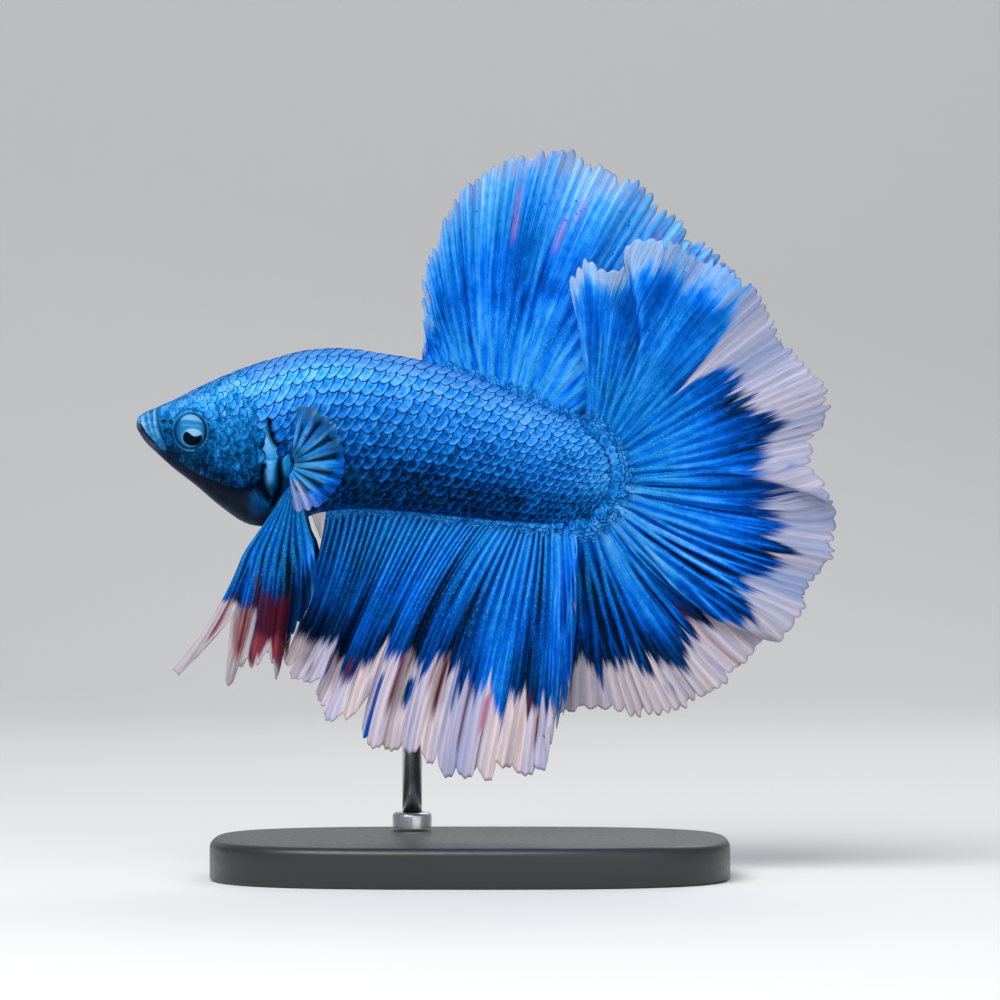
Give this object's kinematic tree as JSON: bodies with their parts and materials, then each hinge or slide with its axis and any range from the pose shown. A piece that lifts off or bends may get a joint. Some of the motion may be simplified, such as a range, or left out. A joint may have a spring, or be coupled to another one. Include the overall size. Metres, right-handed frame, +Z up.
{
  "type": "betta fish model",
  "caption": "Life-size still model of a male betta fish with blue scales and wide blue fins edged in white, held on a plain display stand.",
  "frame": {"origin": "centre of the underside of the stand's base, on the surface it rests on", "axes": "the fish looks along -X, its left side faces -Y, and +Z is up"},
  "size_m": [0.0699, 0.034, 0.073],
  "materials": {
    "scaled_skin": "satin, iridescent scales",
    "eye": "wet gloss",
    "fin_membrane": "satin, pale at the margin",
    "pectoral_membrane": "satin",
    "pelvic_membrane": "satin, pale red and white at the tips",
    "stand_paint": "satin",
    "stand_steel": "brushed",
    "stand_rubber": "matt"
  },
  "bodies": {
    "root": {"head": "scaled_skin", "gill_cover_left": "scaled_skin", "gill_cover_right": "scaled_skin", "trunk_front": "scaled_skin", "trunk_rear": "scaled_skin", "tail_root": "scaled_skin", "eye_left": "eye", "eye_right": "eye", "dorsal_fin": "fin_membrane", "anal_fin": "fin_membrane", "caudal_fin": "fin_membrane", "pectoral_fin_left": "pectoral_membrane", "pectoral_fin_right": "pectoral_membrane", "pelvic_fin_left": "pelvic_membrane", "pelvic_fin_right": "pelvic_membrane", "stand_base": "stand_paint", "stand_rod": "stand_steel", "stand_collar": "stand_steel", "stand_pad": "stand_rubber"}
  },
  "joints": []
}
